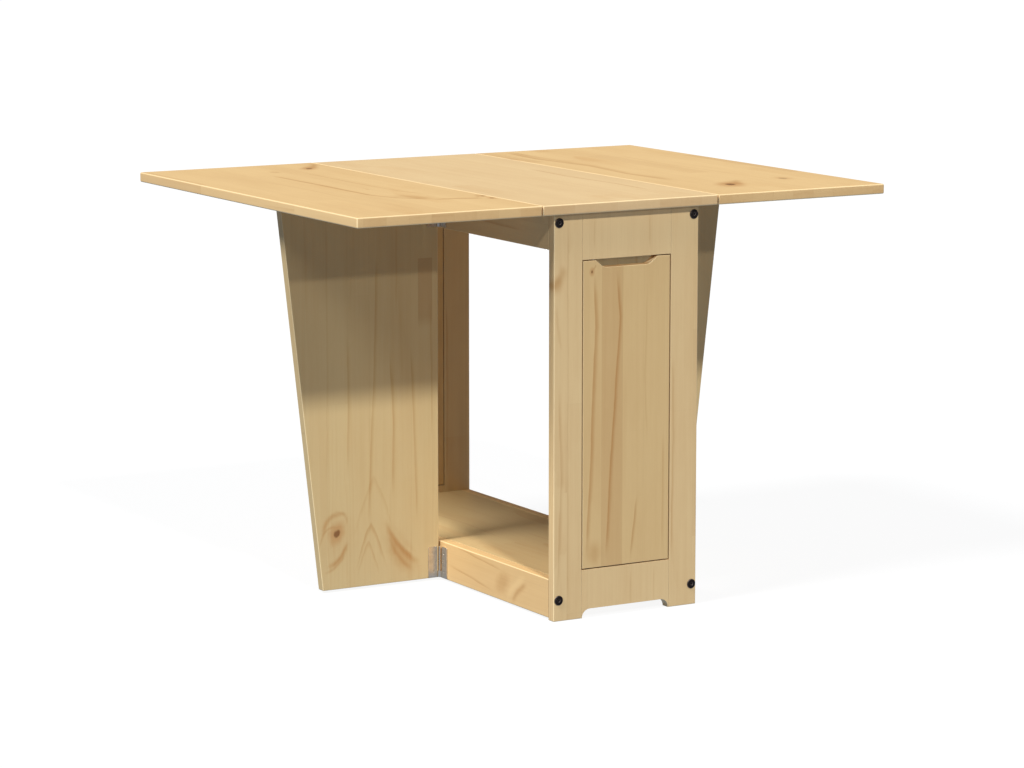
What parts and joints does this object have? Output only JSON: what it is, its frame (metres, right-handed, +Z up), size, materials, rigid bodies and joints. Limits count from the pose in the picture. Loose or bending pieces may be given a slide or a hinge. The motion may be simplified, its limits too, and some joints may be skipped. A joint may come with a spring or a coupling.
{
  "type": "gateleg table",
  "caption": "Free-standing drop-leaf dining table: a narrow carcass with end doors, hinged leaves, and swinging panel gates that carry the raised leaves.",
  "frame": {"origin": "on the floor, at the centre of the table's footprint with both leaves up", "axes": "+X runs to the right along the open top, across both seams; +Y runs along the carcass from its front end to its back end; +Z is up"},
  "size_m": [1.07, 0.86, 0.73],
  "materials": {
    "pine_top": "clear satin lacquer over golden pine with brown knots",
    "pine_frame": "clear satin lacquer over pale pine strips, grain upright",
    "pine_door": "clear satin lacquer over slightly darker pine, grain upright",
    "pine_base": "clear satin lacquer over golden pine, grain lengthwise",
    "pine_gate": "clear satin lacquer over edge-glued pine strips, grain upright",
    "zinc_steel": "zinc plated, slightly dull",
    "black_steel": "black, semi-gloss",
    "catch_plastic": "brown, matte"
  },
  "bodies": {
    "carcass": {"back_bottom_rail": "pine_frame", "back_door_bottom_pivot": "zinc_steel", "back_door_catch": "catch_plastic", "back_door_top_pivot": "zinc_steel", "back_left_lower_bolt": "black_steel", "back_left_stile": "pine_frame", "back_left_upper_bolt": "black_steel", "back_right_lower_bolt": "black_steel", "back_right_stile": "pine_frame", "back_right_upper_bolt": "black_steel", "back_top_rail": "pine_frame", "base_shelf": "pine_base", "front_bottom_rail": "pine_frame", "front_door_bottom_pivot": "zinc_steel", "front_door_catch": "catch_plastic", "front_door_top_pivot": "zinc_steel", "front_left_lower_bolt": "black_steel", "front_left_stile": "pine_frame", "front_left_upper_bolt": "black_steel", "front_right_lower_bolt": "black_steel", "front_right_stile": "pine_frame", "front_right_upper_bolt": "black_steel", "front_top_rail": "pine_frame", "left_apron": "pine_frame", "left_base_rail": "pine_base", "left_gate_lower_hinge_fixed_leaf": "zinc_steel", "left_gate_lower_hinge_pin": "zinc_steel", "left_gate_upper_hinge_fixed_leaf": "zinc_steel", "left_gate_upper_hinge_pin": "zinc_steel", "left_leaf_back_hinge_fixed_leaf": "zinc_steel", "left_leaf_back_hinge_pin": "zinc_steel", "left_leaf_front_hinge_fixed_leaf": "zinc_steel", "left_leaf_front_hinge_pin": "zinc_steel", "right_apron": "pine_frame", "right_base_rail": "pine_base", "right_gate_lower_hinge_fixed_leaf": "zinc_steel", "right_gate_lower_hinge_pin": "zinc_steel", "right_gate_upper_hinge_fixed_leaf": "zinc_steel", "right_gate_upper_hinge_pin": "zinc_steel", "right_leaf_back_hinge_fixed_leaf": "zinc_steel", "right_leaf_back_hinge_pin": "zinc_steel", "right_leaf_front_hinge_fixed_leaf": "zinc_steel", "right_leaf_front_hinge_pin": "zinc_steel", "top_centre_board": "pine_top"},
    "left_gate_body": {"left_gate": "pine_gate", "left_gate_lower_hinge_moving_leaf": "zinc_steel", "left_gate_upper_hinge_moving_leaf": "zinc_steel"},
    "right_gate_body": {"right_gate": "pine_gate", "right_gate_lower_hinge_moving_leaf": "zinc_steel", "right_gate_upper_hinge_moving_leaf": "zinc_steel"},
    "left_leaf": {"left_leaf_back_hinge_moving_leaf": "zinc_steel", "left_leaf_board": "pine_top", "left_leaf_front_hinge_moving_leaf": "zinc_steel"},
    "right_leaf": {"right_leaf_back_hinge_moving_leaf": "zinc_steel", "right_leaf_board": "pine_top", "right_leaf_front_hinge_moving_leaf": "zinc_steel"},
    "front_door_body": {"front_door": "pine_door"},
    "back_door_body": {"back_door": "pine_door"}
  },
  "joints": [
    {"name": "left_gate_swing", "type": "hinge", "parent": "carcass", "child": "left_gate_body", "pos_m": [-0.151, -0.016, 0.35], "axis": [0, 0, 1], "range_deg": [0, 90]},
    {"name": "right_gate_swing", "type": "hinge", "parent": "carcass", "child": "right_gate_body", "pos_m": [0.151, 0.016, 0.35], "axis": [0, 0, 1], "range_deg": [0, 90]},
    {"name": "left_leaf_lift", "type": "hinge", "parent": "carcass", "child": "left_leaf", "pos_m": [-0.1785, 0, 0.711], "axis": [0, 1, 0], "range_deg": [0, 5]},
    {"name": "right_leaf_lift", "type": "hinge", "parent": "carcass", "child": "right_leaf", "pos_m": [0.1785, 0, 0.711], "axis": [0, -1, 0], "range_deg": [0, 5]},
    {"name": "front_door_swing", "type": "hinge", "parent": "carcass", "child": "front_door_body", "pos_m": [-0.0645, -0.406, 0.35], "axis": [0, 0, -1], "range_deg": [0, 100]},
    {"name": "back_door_swing", "type": "hinge", "parent": "carcass", "child": "back_door_body", "pos_m": [0.0645, 0.406, 0.35], "axis": [0, 0, -1], "range_deg": [0, 100]}
  ]
}
